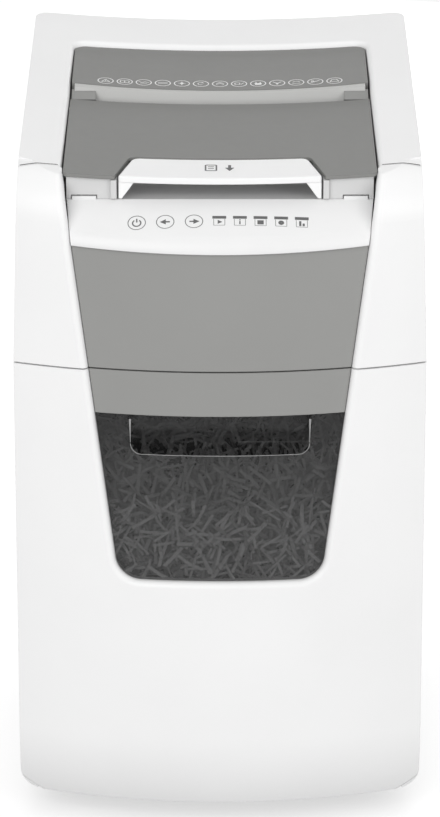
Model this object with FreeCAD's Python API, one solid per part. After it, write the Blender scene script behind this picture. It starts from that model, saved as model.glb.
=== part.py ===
"""Deskside paper shredder with an automatic feed tray, a manual slot and a pull-out bin.

Frame: +Z up, front towards -Y, origin on the floor under the middle of the machine, millimetres.
The white front is a wall bowed about a vertical axis far behind it; grey panels and the bin window
sit a little behind it. The lid carries the manual slot and swings up about a pin at its rear edge.
Two interleaved cutter drums, geared together and driven by a motor, sit under the feed tray.
"""

import FreeCAD
import Part
import math
import os

V = FreeCAD.Vector

# Overall size
WIDTH = 345.0
DEPTH = 390.0
FRONT_Y = -DEPTH / 2
BACK_Y = DEPTH / 2
SKIRT_Z = 22.0  # lower edge of the casing; the casters fill the rest
SPLIT_Z = 414.0  # seam between the bin section and the head
SEAM = 1.2
WALL = 3.0

# Bowed front
BOW_R = 438.0
BOW_Y = FRONT_Y + BOW_R
RECESS = 6.0  # grey panels and window behind the white front
TOE_R = 119.0  # the front curls under at the bottom
TOE_Z = 85.0
BROW_R = 42.0  # the front rolls over into the top
BROW_Z = 538.5
BROW_END = math.radians(80)
FOOT_CORNER_R = 20.0
SIDE_TAPER = 0.031  # the head narrows upwards
BACK_TAPER_Z = 560.0
BACK_TAPER = 0.09
BACK_CORNER_R = 12.0
CLEAR_Z = 700.0  # above everything

# Top surfaces, both through one line near the front
TOP_Y = -150.0
TOP_Z = 569.7
FRAME_SLOPE = math.tan(math.radians(10))
LID_SLOPE = math.tan(math.radians(8))
DISH_HALF = 180.0
DISH = 9.36


def box(x0, x1, y0, y1, z0, z1):
    return Part.makeBox(x1 - x0, y1 - y0, z1 - z0, V(x0, y0, z0))


def rod_x(radius, x0, x1, y, z):
    return Part.makeCylinder(radius, x1 - x0, V(x0, y, z), V(1, 0, 0))


def rod_z(radius, x, y, z0, z1):
    return Part.makeCylinder(radius, z1 - z0, V(x, y, z0), V(0, 0, 1))


def prism_x(points, x0, x1):
    """A (y, z) outline between two x planes."""
    face = Part.Face(Part.makePolygon([V(x0, y, z) for y, z in points + points[:1]]))
    return face.extrude(V(x1 - x0, 0, 0))


def prism_y(points, y0, y1):
    """An (x, z) outline between two y planes."""
    face = Part.Face(Part.makePolygon([V(x, y0, z) for x, z in points + points[:1]]))
    return face.extrude(V(0, y1 - y0, 0))


def arc(a, middle, b):
    return Part.Arc(a, middle, b).toShape()


def line(a, b):
    return Part.makeLine(a, b)


def face_of(edges):
    return Part.Face(Part.Wire(Part.__sortEdges__(edges)))


def turned_about_bow(points_edges):
    """A face in the x = 0 plane, turned about the vertical axis of the bowed front."""
    return face_of(points_edges).revolve(V(0, BOW_Y, 0), V(0, 0, 1), 360)


def bowed(radius, z0, z1):
    """Everything inside the bowed front of this radius."""
    return Part.makeCylinder(radius, z1 - z0, V(0, BOW_Y, z0), V(0, 0, 1))


def slab(slope, top, thick, x_half, y0, y1):
    """A dished sheet that climbs to the back: its upper face is `top` above the top line."""

    def z_at(y, drop):
        return TOP_Z + (y - TOP_Y) * slope + top - drop

    def dished_edges(drop):
        z = z_at(y0, drop)
        d = min(DISH_HALF, x_half)
        high = z + DISH * (d / DISH_HALF) ** 2
        left, mid, right = V(-d, y0, high), V(0, y0, z), V(d, y0, high)
        edges = [arc(left, mid, right)]
        if x_half > d:
            edges.append(line(V(-x_half, y0, high), left))
            edges.append(line(right, V(x_half, y0, high)))
        return edges, high

    upper, high = dished_edges(0)
    lower, low = dished_edges(thick)
    sides = [line(V(s * x_half, y0, high), V(s * x_half, y0, low)) for s in (-1, 1)]
    face = face_of(upper + lower + sides)
    return face.extrude(V(0, y1 - y0, (y1 - y0) * slope))


def at_back_corner(edge, inset):
    b = edge.BoundBox
    return b.YMin > BACK_Y - inset - 10 and b.ZLength > 20 + inset and b.XLength < 8


def envelope(inset):
    """The whole outer form, moved inwards by inset."""
    r = BOW_R - inset
    toe = TOE_R - inset
    toe_low = SKIRT_Z + inset
    a = math.asin((TOE_Z - toe_low) / toe)
    brow = BROW_R - inset

    def at(radius, z):
        return V(0, BOW_Y - radius, z)

    def toe_at(t):
        return at(BOW_R - TOE_R + toe * math.cos(t), TOE_Z - toe * math.sin(t))

    def brow_at(t):
        return at(BOW_R - BROW_R + brow * math.cos(t), BROW_Z + brow * math.sin(t))

    top = brow_at(BROW_END)
    high = V(0, top.y, CLEAR_Z)
    axis_low, axis_high = V(0, BOW_Y, toe_low), V(0, BOW_Y, CLEAR_Z)
    turned = turned_about_bow(
        [
            line(axis_low, toe_at(a)),
            arc(toe_at(a), toe_at(a / 2), at(r, TOE_Z)),
            line(at(r, TOE_Z), at(r, BROW_Z)),
            arc(at(r, BROW_Z), brow_at(BROW_END / 2), top),
            line(top, high),
            line(high, axis_high),
            line(axis_high, axis_low),
        ]
    )
    half = WIDTH / 2 - inset
    corner = max(FOOT_CORNER_R - inset, 1.0)
    narrow = half - (CLEAR_Z - SPLIT_Z) * SIDE_TAPER
    k = corner * (1 - math.sqrt(0.5))
    y = FRONT_Y - 10
    outline = []
    for s in (-1, 1):
        foot, side = V(s * (half - corner), y, toe_low), V(s * half, y, toe_low + corner)
        outline.append(arc(foot, V(s * (half - k), y, toe_low + k), side))
        outline.append(line(side, V(s * half, y, SPLIT_Z)))
        outline.append(line(V(s * half, y, SPLIT_Z), V(s * narrow, y, CLEAR_Z)))
    outline.append(line(V(corner - half, y, toe_low), V(half - corner, y, toe_low)))
    outline.append(line(V(-narrow, y, CLEAR_Z), V(narrow, y, CLEAR_Z)))
    front_view = face_of(outline).extrude(V(0, DEPTH + 40, 0))
    back = BACK_Y - inset
    lean = (CLEAR_Z - BACK_TAPER_Z) * BACK_TAPER
    side_view = prism_x(
        [
            (FRONT_Y - 20, 0),
            (back, 0),
            (back, BACK_TAPER_Z),
            (back - lean, CLEAR_Z),
            (FRONT_Y - 20, CLEAR_Z),
        ],
        -WIDTH,
        WIDTH,
    )
    under = slab(FRAME_SLOPE, -inset, 800, WIDTH, FRONT_Y - 20, BACK_Y + 20)
    form = turned.common(front_view).common(side_view).common(under)
    upright = [e for e in form.Edges if at_back_corner(e, inset)]
    return form.makeFillet(max(BACK_CORNER_R - inset, 1.0), upright)


def rounded_wire(points, radii):
    """A closed wire through flat corner points, each rounded to its own radius."""
    n = len(points)
    edges, last, first = [], None, None
    for i, p in enumerate(points):
        a, b = points[i - 1] - p, points[(i + 1) % n] - p
        a.normalize()
        b.normalize()
        r = radii[i] if isinstance(radii, (list, tuple)) else radii
        if r:
            half = a.getAngle(b) / 2
            reach = r / math.tan(half)
            mid = (a + b).normalize()
            start, end = p + a * reach, p + b * reach
            middle = p + mid * (r / math.sin(half) - r)
        else:
            start = end = p
        if last is None:
            first = start
        else:
            edges.append(line(last, start))
        if r:
            edges.append(arc(start, middle, end))
        last = end
    edges.append(line(last, first))
    return Part.Wire(edges)


def plate_z(points, radii, z0, z1):
    """A rounded (x, y) outline between two heights."""
    wire = rounded_wire([V(x, y, z0) for x, y in points], radii)
    return Part.Face(wire).extrude(V(0, 0, z1 - z0))


def plate_y(points, radii, y0, y1):
    """A rounded (x, z) outline between two y planes."""
    wire = rounded_wire([V(x, y0, z) for x, z in points], radii)
    return Part.Face(wire).extrude(V(0, y1 - y0, 0))


def mirrored(shape):
    return shape.mirror(V(0, 0, 0), V(1, 0, 0))


def pair(shape):
    """The shape and its mirror image on the other side."""
    return [shape, mirrored(shape)]


def fuse(*shapes):
    flat = []
    for s in shapes:
        flat.extend(s if isinstance(s, list) else [s])
    return flat[0].multiFuse(flat[1:]).removeSplitter() if len(flat) > 1 else flat[0]


def soften(shape, radius, wanted):
    """Round the edges that `wanted` picks; where they are too tight to round, leave them sharp."""
    edges = [e for e in shape.Edges if wanted(e)]
    if not edges:
        return shape
    try:
        rounded = shape.makeFillet(radius, edges)
    except Part.OCCError:
        return shape
    return rounded if rounded.isValid() and rounded.Volume > 0 else shape


PARTS = {}


def keep(name, shapes):
    """Store one node: a solid, or a group of loose ones."""
    shapes = shapes if isinstance(shapes, list) else [shapes]
    solids = [s for shape in shapes for s in shape.Solids]
    PARTS[name] = solids[0] if len(solids) == 1 else Part.makeCompound(solids)


OUTER = envelope(0)
SKIN = envelope(WALL)
FIT = 0.4  # gap round a panel that drops into an opening
FAR = 300.0

# Opening between the white pillars; it widens upwards
OPEN_HALF = 109.6
OPEN_TAPER = 0.1295
WINDOW_LOW = 229.5
WINDOW_CORNER_R = 22.0
WINDOW_TOP = 375.4
RIM = 7.0  # width of the return round the opening
RIM_DEEP = 13.0
RIM_R = 5.0
PANEL_T = 3.0


def open_half(z):
    return OPEN_HALF + (z - SPLIT_Z) * OPEN_TAPER


def opening(grow, z0, z1, corner=0.0):
    """The tapered opening through the front between two heights."""
    points = [
        (-open_half(z1) - grow, z1),
        (-open_half(z0) - grow, z0),
        (open_half(z0) + grow, z0),
        (open_half(z1) + grow, z1),
    ]
    return plate_y(points, [0, corner, corner, 0], -FAR, 0)


# Cabinet
SHELL_FRONT_Y = -147.5
BASE_Z = 62.0
BASE_T = 4.0
DECK_Z = 404.0
DECK_T = 3.0
CUTTER_WELL = (-122, 122, -26, 70)  # hole in the head's floor under the cutters
SKIRT_IN = 158.0


def shell(z0, z1, y0, y1, skin=None):
    room = box(-FAR, FAR, y0, y1, z0, z1)
    return OUTER.common(room).cut(SKIN if skin is None else skin)


def cabinet():
    walls = shell(SKIRT_Z - 1, SPLIT_Z - SEAM / 2, SHELL_FRONT_Y, FAR)
    floor_hole = box(-SKIRT_IN, SKIRT_IN, -FAR, BACK_Y - 14, SKIRT_Z - 2, SKIRT_Z + WALL + 1)
    walls = walls.cut(floor_hole)
    for x in INLET_XS:
        low, high = INLET_Z - INLET_H / 2, INLET_Z + INLET_H / 2
        walls = walls.cut(box(x - INLET_W / 2, x + INLET_W / 2, 150, FAR, low, high))
    keep("cabinet_shell", walls)
    inner = WIDTH / 2 - WALL - 0.2
    back = BACK_Y - WALL - 0.2
    outline = [(-inner, -138), (inner, -138), (inner, back), (-inner, back)]
    corners = [0, 0, BACK_CORNER_R, BACK_CORNER_R]
    base = plate_z(outline, corners, BASE_Z, BASE_Z + BASE_T)
    deck = plate_z(outline, corners, DECK_Z, DECK_Z + DECK_T)
    keep("base_plate", base)
    keep("mid_deck", deck.cut(box(*CUTTER_WELL, DECK_Z - 1, DECK_Z + DECK_T + 1)))


# Power inlet and rocker switch at the back
INLET_XS = (-110.0, -62.0)
INLET_W = 28.0
INLET_H = 34.0
INLET_Z = 110.0


def inlet():
    x, z = INLET_XS[0], INLET_Z
    w, h = INLET_W / 2, INLET_H / 2
    flange = box(x - w - 3, x + w + 3, BACK_Y, BACK_Y + 2, z - h - 3, z + h + 3)
    block = box(x - w + FIT, x + w - FIT, BACK_Y - 22, BACK_Y, z - h + FIT, z + h - FIT)
    well = box(x - 10, x + 10, BACK_Y - 16, BACK_Y + 3, z - 13, z + 13)
    body = flange.fuse(block).cut(well)
    pins = []
    for dx, dz in ((0.0, 4.0), (-5.0, -4.0), (5.0, -4.0)):
        pin = box(x + dx - 1, x + dx + 1, BACK_Y - 16, BACK_Y - 3, z + dz - 2.5, z + dz + 2.5)
        pins.append(pin)
    keep("power_inlet", body)
    keep("inlet_pins", pins)
    x = INLET_XS[1]
    flange = box(x - w - 3, x + w + 3, BACK_Y, BACK_Y + 2, z - h - 3, z + h + 3)
    block = box(x - w + FIT, x + w - FIT, BACK_Y - 20, BACK_Y, z - h + FIT, z + h - FIT)
    well = box(x - 8, x + 8, BACK_Y - 12, BACK_Y + 3, z - 13, z + 13)
    keep("switch_bezel", flange.fuse(block).cut(well))
    rocker = prism_x(
        [
            (BACK_Y + 0.8, z - 11.5),
            (BACK_Y + 0.6, z),
            (BACK_Y + 3.6, z + 11.5),
            (BACK_Y - 3.0, z + 11.2),
            (BACK_Y - 7.0, z),
            (BACK_Y - 4.0, z - 11.2),
        ],
        x - 7.4,
        x + 7.4,
    )
    keep("rocker_switch", rocker)


# Casters, set far enough in to stay out of sight
CASTER_X = 118.0
CASTER_YS = (-86.0, 142.0)
WHEEL_R = 19.0
WHEEL_W = 16.0
TRAIL = 14.0  # how far the wheel trails its swivel
FORK_T = 3.0
AXLE_R = 3.0
STEM_R = 4.0
CROWN_Z = 50.0
COLLAR_R = 11.0
COLLAR_Z = 58.0
STEM_TOP = 72.0
SEAT_TOP = 74.0


def casters():
    for y, row in zip(CASTER_YS, ("front", "rear")):
        for side, s in (("left", -1), ("right", 1)):
            x = s * CASTER_X
            wheel_y = y + TRAIL
            tread = rod_x(WHEEL_R, x - WHEEL_W / 2, x + WHEEL_W / 2, wheel_y, WHEEL_R)
            edges = [e for e in tread.Edges if e.Curve.TypeId == "Part::GeomCircle"]
            tread = tread.makeFillet(2.5, edges)
            reach = WHEEL_W / 2 + FORK_T
            stub = rod_x(AXLE_R, x - reach, x + reach, wheel_y, WHEEL_R)
            keep(f"caster_wheel_{row}_{side}", tread.fuse(stub))
            gap = WHEEL_W / 2 + 0.6
            cheeks = []
            for t in (-1, 1):
                a, b = sorted((x + t * gap, x + t * (gap + FORK_T)))
                top = CROWN_Z + 2
                profile = [(y - 12, top), (wheel_y - 7, 12), (wheel_y + 7, 12), (y + 16, top)]
                cheeks.append(prism_x(profile, a, b))
            crown = box(x - gap - FORK_T, x + gap + FORK_T, y - 12, y + 16, CROWN_Z, CROWN_Z + 3)
            collar = rod_z(COLLAR_R, x, y, CROWN_Z + 3, COLLAR_Z)
            stem = rod_z(STEM_R, x, y, COLLAR_Z, STEM_TOP)
            bore = rod_x(AXLE_R + 0.06, x - 20, x + 20, wheel_y, WHEEL_R)
            fork = fuse(crown, cheeks, collar, stem).cut(bore)
            keep(f"caster_fork_{row}_{side}", fork)


def caster_seats():
    """Round seats in the base plate that take the caster stems."""
    base = PARTS["base_plate"]
    spots = [(x, y) for y in CASTER_YS for x in (-CASTER_X, CASTER_X)]
    for x, y in spots:
        base = base.fuse(rod_z(COLLAR_R, x, y, COLLAR_Z + 0.4, SEAT_TOP))
    for x, y in spots:
        base = base.cut(rod_z(STEM_R + 0.08, x, y, CROWN_Z, STEM_TOP + 0.4))
    keep("base_plate", base.removeSplitter())


# Pull-out bin
BIN_BACK_Y = -148.2
FRONT_T = 4.0
TUB_HALF = 150.0
TUB_BACK = 150.0
TUB_LOW = 76.0
TUB_HIGH = 365.0
TUB_LIP = 221.0
TUB_T = 2.5
POCKET_HALF = 76.8
POCKET_LOW = 341.0
POCKET_HIGH = 400.0
POCKET_BACK = -153.0
RAIL_LOW = 196.0
RAIL_HIGH = 216.0


def bin_parts():
    top = SPLIT_Z - SEAM / 2
    front = shell(SKIRT_Z - 1, top, -FAR, BIN_BACK_Y, envelope(FRONT_T))
    under = bowed(BOW_R - 26, SKIRT_Z - 2, SKIRT_Z + FRONT_T + 1)
    front = front.cut(under.common(box(-150, 150, -FAR, 0, 0, FAR)))
    hole = opening(0, WINDOW_LOW, CLEAR_Z, WINDOW_CORNER_R)
    around = opening(RIM, WINDOW_LOW - RIM, CLEAR_Z, WINDOW_CORNER_R + RIM)
    below_top = box(-FAR, FAR, -FAR, 0, 0, top)
    rim = OUTER.cut(envelope(RIM_DEEP)).common(around).common(below_top)
    front = front.fuse(rim).cut(hole).removeSplitter()
    front = soften(front, RIM_R, lambda e: on_front_opening(e, WINDOW_LOW - 1, top))
    keep("bin_front", front)
    recess = envelope(RECESS)
    seat = envelope(RECESS + PANEL_T)
    infill = opening(-FIT, WINDOW_LOW + FIT, CLEAR_Z, WINDOW_CORNER_R - FIT)
    band = box(-FAR, FAR, -FAR, 0, WINDOW_TOP, top)
    panel = recess.cut(seat).common(infill).common(band)
    lip_band = box(-FAR, FAR, -FAR, 0, WINDOW_TOP, WINDOW_TOP + 2.5)
    grip = recess.cut(envelope(RECESS + 18)).common(opening(-FIT - 14, 300, CLEAR_Z)).common(lip_band)
    keep("bin_panel", panel.fuse(grip).removeSplitter())
    glass_t = 2.5
    pane = recess.cut(envelope(RECESS + glass_t)).common(infill)
    pane = pane.common(box(-FAR, FAR, -FAR, 0, 0, WINDOW_TOP - FIT))
    corners = [0, 9, 9, 0]
    mouth = [
        (-POCKET_HALF - 1.5, POCKET_HIGH),
        (-POCKET_HALF + 2, POCKET_LOW),
        (POCKET_HALF - 2, POCKET_LOW),
        (POCKET_HALF + 1.5, POCKET_HIGH),
    ]
    t = 2.0
    rim_points = [
        (-POCKET_HALF - 1.5 - t, POCKET_HIGH + t),
        (-POCKET_HALF + 2 - t, POCKET_LOW - t),
        (POCKET_HALF - 2 + t, POCKET_LOW - t),
        (POCKET_HALF + 1.5 + t, POCKET_HIGH + t),
    ]
    hollow = plate_y(mouth, corners, -FAR, POCKET_BACK)
    liner = plate_y(rim_points, [0, 9 + t, 9 + t, 0], -FAR, POCKET_BACK + t)
    liner = liner.common(envelope(RECESS + 0.2)).cut(hollow)
    behind = box(-FAR, FAR, -FAR, 0, WINDOW_TOP - FIT, CLEAR_Z).cut(envelope(RECESS + 18.4))
    pane = pane.cut(plate_y(mouth, corners, -FAR, 0)).fuse(liner.cut(behind))
    keep("bin_window", pane.removeSplitter())
    tub_outer = envelope(RIM_DEEP + 0.5).common(box(-TUB_HALF, TUB_HALF, -FAR, TUB_BACK, TUB_LOW, TUB_HIGH))
    t = TUB_T
    room = box(-TUB_HALF + t, TUB_HALF - t, -FAR, TUB_BACK - t, TUB_LOW + t, TUB_HIGH + 1)
    tub_inner = envelope(RIM_DEEP + 0.5 + t).common(room)
    tub = tub_outer.cut(tub_inner)
    tub = tub.cut(box(-TUB_HALF + t, TUB_HALF - t, -FAR, -140, TUB_LIP, CLEAR_Z))
    keep("bin_tub", tub)
    slides = box(TUB_HALF, TUB_HALF + 6, -136, 140, RAIL_LOW + 4, RAIL_HIGH - 4)
    keep("bin_slides", pair(slides))
    rail = box(TUB_HALF + 1.5, WIDTH / 2 - WALL - 0.1, -138, 160, RAIL_LOW, RAIL_HIGH)
    groove = box(TUB_HALF, TUB_HALF + 6.6, -139, 150, RAIL_LOW + 3.6, RAIL_HIGH - 3.6)
    keep("cabinet_rails", pair(rail.cut(groove)))
    keep("interlock_magnet", box(100, 120, TUB_BACK, TUB_BACK + 4, 330, 342))
    keep("interlock_switch", box(96, 124, TUB_BACK + 8, BACK_Y - WALL - 0.1, 326, 346))


def on_front_opening(edge, z0, z1):
    """Edges where the white front meets the sides of its opening."""
    box_ = edge.BoundBox
    if box_.ZMin < z0 or box_.ZMax > z1 + 0.1 or box_.ZLength < 0.01 and box_.ZMax > z1 - 0.1:
        return False
    for v in edge.Vertexes:
        p = v.Point
        radius = math.hypot(p.x, p.y - BOW_Y)
        inside = open_half(p.z) + 0.5
        if abs(radius - BOW_R) > 0.2 or abs(p.x) > inside:
            return False
    return True


# Head
HEAD_Z = SPLIT_Z + SEAM / 2
FRAME_Y = -135.3
FRAME_DEEP = 20.0
RAIL_IN = 135.7  # hollow under the rails beside the lid
RAIL_OUT = 164.3
OPEN_FRONT = 131.8  # half-widths of the opening in the top
OPEN_BACK = 129.4
LID_BACK_Y = 14.4
DECK_FRONT_Y = 32.0  # in the middle of its curved front edge
DECK_FRONT_BOW = 6.0  # how much further back the edge is at the sides
THROAT_LIP = 0.3
DECK_BACK_Y = 126.8
DECK_RISE = 6.0
SKIRT_T = 2.5
FRAME_R = 5.0


def frame_zone(grow):
    """The space of the top frame, split off from the rest of the head."""
    g = grow
    above = slab(FRAME_SLOPE, 200, 200 + FRAME_DEEP + g, WIDTH, FRONT_Y - 20, BACK_Y + 20)
    points = [
        (-WIDTH, FRAME_Y - g),
        (-133.8, FRAME_Y - g),
        (-128.6, FRAME_Y - 8.4 - g),
        (128.6, FRAME_Y - 8.4 - g),
        (133.8, FRAME_Y - g),
        (WIDTH, FRAME_Y - g),
        (WIDTH, FAR),
        (-WIDTH, FAR),
    ]
    return above.common(plate_z(points, 0, 0, CLEAR_Z))


def top_opening(z0):
    y0, y1 = FRONT_Y, DECK_BACK_Y + 0.8
    points = [(-OPEN_FRONT, y0), (OPEN_FRONT, y0), (OPEN_BACK, y1), (-OPEN_BACK, y1)]
    return plate_z(points, [0, 0, 12, 12], z0, CLEAR_Z)


def on_top_opening(edge):
    b = edge.BoundBox
    mid = edge.valueAt((edge.FirstParameter + edge.LastParameter) / 2)
    on_top = mid.z > TOP_Z + (mid.y - TOP_Y) * FRAME_SLOPE - 1.0
    inside = abs(mid.x) < OPEN_FRONT + 0.1 and mid.y < DECK_BACK_Y + 1.5
    return on_top and inside and mid.y > FRAME_Y + 1 and b.DiagonalLength > 8


def head_parts():
    zone = frame_zone(0)
    ring = OUTER.common(zone).cut(top_opening(0))
    room = SKIN.common(
        fuse(
            pair(box(RAIL_IN, RAIL_OUT, FRAME_Y + 4, BACK_Y, 0, CLEAR_Z)),
            box(-RAIL_OUT, RAIL_OUT, DECK_BACK_Y + 5.4, BACK_Y, 0, CLEAR_Z),
        )
    )
    frame = soften(ring, FRAME_R, on_top_opening).cut(room)
    for hole in pair(rod_x(PIN_R + 0.05, 128, 140, PIVOT_Y, PIVOT_Z)):
        frame = frame.cut(hole)
    keep("top_frame", frame)
    room = box(-FAR, FAR, -FAR, FAR, HEAD_Z, CLEAR_Z)
    body = OUTER.cut(SKIN)
    around = opening(RIM, 300, CLEAR_Z)
    rim = OUTER.cut(envelope(RIM_DEEP)).common(around)
    hole = opening(0, 300, CLEAR_Z)
    front_hole = hole.common(box(-FAR, FAR, -FAR, -120, 0, CLEAR_Z))
    body = fuse(body, rim).common(room).cut(front_hole).cut(frame_zone(0.5))
    lid_room = box(-OPEN_FRONT, OPEN_FRONT, -FAR, DECK_BACK_Y + 1, 545, CLEAR_Z)
    body = body.cut(lid_room.cut(box(-FAR, FAR, -FAR, -120, 0, CLEAR_Z)))
    for i in range(VENTS):
        z = VENT_Z + i * VENT_STEP
        for x in VENT_XS:
            body = body.cut(box(x - VENT_HALF, x + VENT_HALF, 150, FAR, z, z + VENT_H))
    for x, z in SCREWS:
        body = body.cut(Part.makeCylinder(1.8, 20, V(x, BACK_Y - 10, z), V(0, 1, 0)))
    body = max(body.Solids, key=lambda s: s.Volume)
    body = soften(body, RIM_R, lambda e: on_front_opening(e, HEAD_Z - 1, BROW_Z + 1))
    keep("head_housing", body)
    panel = envelope(RECESS).cut(envelope(RECESS + PANEL_T)).common(opening(-FIT, 400, CLEAR_Z))
    keep("head_panel", panel.common(room).cut(above_edge(-0.6)).cut(box(-FAR, FAR, -120, FAR, 0, CLEAR_Z)))
    half, y0, y1 = OPEN_BACK - 0.8, DECK_FRONT_Y, DECK_BACK_Y
    sheet = slab(LID_SLOPE, DECK_RISE, 3.0, half + 5, y0 - 5, y1 + 5).cut(ahead_of_deck(0))
    plan = plate_z([(-half, y0), (half, y0), (half, y1), (-half, y1)], [0, 0, 11, 11], 500, CLEAR_Z)
    sheet = sheet.common(plan)
    inner, rear = half - SKIRT_T, y1 - SKIRT_T
    middle = [(-inner, y0 - 1), (inner, y0 - 1), (inner, rear), (-inner, rear)]
    skirt = plan.cut(plate_z(middle, 0, 400, CLEAR_Z))
    depth = slab(LID_SLOPE, DECK_RISE - 2.9, 14.0, half + 5, y0 - 5, y1 + 5)
    deck = fuse(sheet, skirt.common(depth)).cut(ahead_of_deck(0))
    keep("rear_deck", deck)


VENTS = 8
VENT_Z = 450.0
VENT_STEP = 9.0
VENT_XS = (-70, 0, 70)
VENT_HALF = 28.0
VENT_H = 4.2
SCREWS = [(x, z) for x in (-150, 150) for z in (430, 540)]


def ahead_of_deck(shift):
    """Everything in front of the rear deck's curved front edge."""
    half, low, far = WIDTH / 2, 400, -FAR
    side, middle = DECK_FRONT_Y + DECK_FRONT_BOW * (half / OPEN_BACK) ** 2 + shift, DECK_FRONT_Y + shift
    edges = [
        arc(V(-half, side, low), V(0, middle, low), V(half, side, low)),
        line(V(half, side, low), V(half, far, low)),
        line(V(half, far, low), V(-half, far, low)),
        line(V(-half, far, low), V(-half, side, low)),
    ]
    return face_of(edges).extrude(V(0, 0, CLEAR_Z - low))


def above_edge(shift):
    """Everything above the curved seam between the grey panel and the control panel."""
    ends, mid = CONTROL_LOW + 3.5 + shift, CONTROL_LOW + shift
    half = 126.0
    top = CLEAR_Z + 20
    curve = arc(V(-half, -FAR, ends), V(0, -FAR, mid), V(half, -FAR, ends))
    far = WIDTH
    edges = [
        line(V(-far, -FAR, ends), V(-half, -FAR, ends)),
        curve,
        line(V(half, -FAR, ends), V(far, -FAR, ends)),
        line(V(far, -FAR, ends), V(far, -FAR, top)),
        line(V(far, -FAR, top), V(-far, -FAR, top)),
        line(V(-far, -FAR, top), V(-far, -FAR, ends)),
    ]
    return face_of(edges).extrude(V(0, FAR + FAR, 0))


# Control panel: a band that rolls back into a sloping key deck
CONTROL_LOW = 516.0
CONTROL_IN = 2.5
CONTROL_R = 16.0
KEY_BACK_Y = -146.8
KEY_BACK_Z = 551.6
KEY_FRONT_Z = 529.5
CONTROL_T = 3.0


def control_block(inset, drop, wide):
    """Loft of side profiles, so the front follows the bow and the rear edge stays straight."""
    wires = []
    for i in range(-3, 4):
        x = wide * i / 3.0
        front = BOW_Y - math.sqrt((BOW_R - inset) ** 2 - x * x)
        a = V(x, front, CONTROL_LOW - 8)
        b = V(x, KEY_BACK_Y, KEY_BACK_Z - drop)
        slope = math.atan2(KEY_BACK_Z - KEY_FRONT_Z - 4 * (x / wide) ** 2, KEY_BACK_Y - front - 7)
        turn = (math.pi / 2 - slope) / 2
        reach = CONTROL_R * math.tan(turn)
        corner_z = b.z - (b.y - front) * math.tan(slope)
        p = V(x, front, corner_z - reach)
        q = V(x, front + reach * math.cos(slope), corner_z + reach * math.sin(slope))
        centre = V(x, front + CONTROL_R, corner_z - reach)
        mid_angle = math.pi - turn
        m = centre + V(0, CONTROL_R * math.cos(mid_angle), CONTROL_R * math.sin(mid_angle))
        low_back = V(x, KEY_BACK_Y, CONTROL_LOW - 8)
        profile = [line(a, p), arc(p, m, q), line(q, b), line(b, low_back), line(low_back, a)]
        wires.append(Part.Wire(profile))
    return Part.makeLoft(wires, True, False)


def control_panel():
    outer = control_block(CONTROL_IN, 0, 140.0)
    inner = control_block(CONTROL_IN + CONTROL_T, CONTROL_T, 140.0)
    inner = inner.fuse(box(-140, 140, KEY_BACK_Y - 2.5, 0, 480, KEY_BACK_Z - 2 * CONTROL_T))
    sides = opening(-FIT, 400, CLEAR_Z)
    skin = outer.cut(inner).common(sides).common(above_edge(0))
    skin = max(skin.Solids, key=lambda s: s.Volume)
    tabs = pair(box(102.4, 122.6, KEY_BACK_Y - 0.8, KEY_BACK_Y + 1.6, KEY_BACK_Z - 4.0, KEY_BACK_Z + 2.6))
    keep("control_panel", fuse(skin, tabs))
    board = prism_x([(-172, 521), (-150, 533), (-150.8, 534.4), (-172.8, 522.4)], -64, 64)
    keep("control_board", board)


# Lid
PIVOT_Y = 9.0
PIVOT_Z = 589.0
PIN_R = 3.0
LID_HALF = 129.9
LID_HALF_BACK = 129.3
LID_FRONT_Y = -150.0
LID_T = 3.0
EAR_IN = 122.6  # ears that hold the hinge pins
EAR_OUT = 129.0
CUT_FRONT = 87.4
CUT_BACK = 75.4
CUT_BACK_Y = -107.0
GRIP_FRONT = 84.6
GRIP_BACK = 72.6
GRIP_BACK_Y = -109.6


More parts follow.
